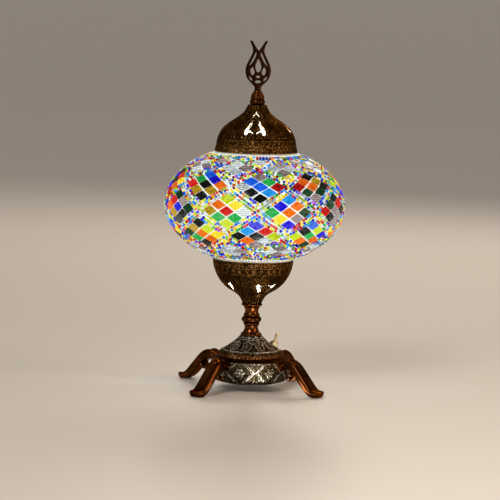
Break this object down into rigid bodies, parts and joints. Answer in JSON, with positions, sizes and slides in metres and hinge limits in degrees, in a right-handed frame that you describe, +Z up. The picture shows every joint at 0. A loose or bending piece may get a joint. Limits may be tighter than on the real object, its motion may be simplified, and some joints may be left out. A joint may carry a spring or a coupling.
{
  "type": "mosaic glass table lamp",
  "caption": "Table lamp with a flattened mosaic glass globe between a pierced cap and bowl, on a turned stem and a domed base with four cast feet and a tulip finial.",
  "frame": {"origin": "on the table, under the middle of the base", "axes": "+Z up along the stem; -Y towards the front of the lamp, with the feet at 45 degrees to X and Y; +Y towards the cord inlet"},
  "size_m": [0.1814, 0.1814, 0.3498],
  "materials": {
    "engraved_bronze": "dark patinated spun brass, finely engraved",
    "copper_bronze": "polished dark copper bronze castings and turnings",
    "antique_silver": "engraved antique plate with worn bright ridges",
    "clear_glass": "blown glass, smooth",
    "bulb_glass": "clear thin blown glass",
    "white_grout": "fine white plaster grout",
    "tile_red": "cut stained glass, glossy",
    "tile_orange": "cut stained glass, glossy",
    "tile_gold": "cut stained glass, glossy",
    "tile_yellow": "cut stained glass, glossy",
    "tile_lime": "cut stained glass, glossy",
    "tile_green": "cut stained glass, glossy",
    "tile_dark_green": "cut stained glass, glossy",
    "tile_sky": "cut stained glass, glossy",
    "tile_blue": "cut stained glass, glossy",
    "tile_cobalt": "cut stained glass, glossy",
    "tile_smoke": "cut stained glass, glossy",
    "tile_black": "cut stained glass, glossy",
    "tile_clear": "cut stained glass, glossy",
    "filament_gold": "phosphor coated, matt",
    "zinc_steel": "zinc plated, satin",
    "yellow_brass": "bright machined brass",
    "pale_brass": "polished pale brass plate",
    "black_plastic": "moulded, satin",
    "white_plastic": "moulded, semi gloss",
    "soft_seal": "soft translucent silicone",
    "black_rubber": "moulded rubber, matt",
    "brown_wire": "pvc insulation, satin",
    "blue_wire": "pvc insulation, satin",
    "painted_plate": "black painted pressed steel"
  },
  "bodies": {
    "root": {"bowl_gasket": "soft_seal", "lower_bowl": "engraved_bronze", "harp_frame": "zinc_steel", "harp_stud": "zinc_steel", "stud_nuts": "zinc_steel", "socket_cup": "black_plastic", "socket_shell": "black_plastic", "socket_insert": "white_plastic", "socket_thread": "yellow_brass", "socket_contact": "yellow_brass", "threaded_tube": "zinc_steel", "tube_nuts": "yellow_brass", "tube_washers": "zinc_steel", "upper_spool": "copper_bronze", "stem_bead": "copper_bronze", "lower_spool": "copper_bronze", "base_dome": "antique_silver", "base_drum": "antique_silver", "base_plate": "painted_plate", "foot_front_left": "copper_bronze", "foot_front_right": "copper_bronze", "foot_rear_right": "copper_bronze", "foot_rear_left": "copper_bronze", "foot_screws": "zinc_steel", "switch_body": "black_plastic", "switch_bushing": "pale_brass", "switch_nut": "pale_brass", "switch_terminals": "pale_brass", "cord_grommet": "black_rubber", "terminal_block": "white_plastic", "live_wire": "brown_wire", "switched_wire": "brown_wire", "neutral_wire": "blue_wire"},
    "globe": {"glass_globe": "clear_glass", "grout_bed": "white_grout", "tiles_red": "tile_red", "tiles_orange": "tile_orange", "tiles_gold": "tile_gold", "tiles_yellow": "tile_yellow", "tiles_lime": "tile_lime", "tiles_green": "tile_green", "tiles_dark_green": "tile_dark_green", "tiles_sky": "tile_sky", "tiles_blue": "tile_blue", "tiles_cobalt": "tile_cobalt", "tiles_smoke": "tile_smoke", "tiles_black": "tile_black", "tiles_clear": "tile_clear"},
    "cap": {"top_cap": "engraved_bronze", "cap_gasket": "soft_seal"},
    "finial": {"tulip_finial": "engraved_bronze", "finial_collar": "copper_bronze"},
    "bulb": {"bulb_glass": "bulb_glass", "bulb_stem": "bulb_glass", "bulb_filaments": "filament_gold", "bulb_base": "zinc_steel", "bulb_tip": "black_plastic"},
    "lever": {"switch_lever": "pale_brass"}
  },
  "joints": [
    {"name": "globe_lift", "type": "slide", "parent": "root", "child": "globe", "axis": [0, 0, 1], "range_m": [0, 0.175]},
    {"name": "cap_lift", "type": "slide", "parent": "globe", "child": "cap", "axis": [0, 0, 1], "range_m": [0, 0.06]},
    {"name": "finial_turn", "type": "hinge", "parent": "cap", "child": "finial", "pos_m": [0, 0, 0.292], "axis": [0, 0, 1], "continuous": true},
    {"name": "bulb_turn", "type": "hinge", "parent": "root", "child": "bulb", "pos_m": [0, 0, 0.132], "axis": [0, 0, 1], "continuous": true},
    {"name": "lever_flip", "type": "hinge", "parent": "root", "child": "lever", "pos_m": [0.02397, 0.00126, 0.04468], "axis": [-0.0523, 0.9986, 0], "range_deg": [0, 28]}
  ]
}
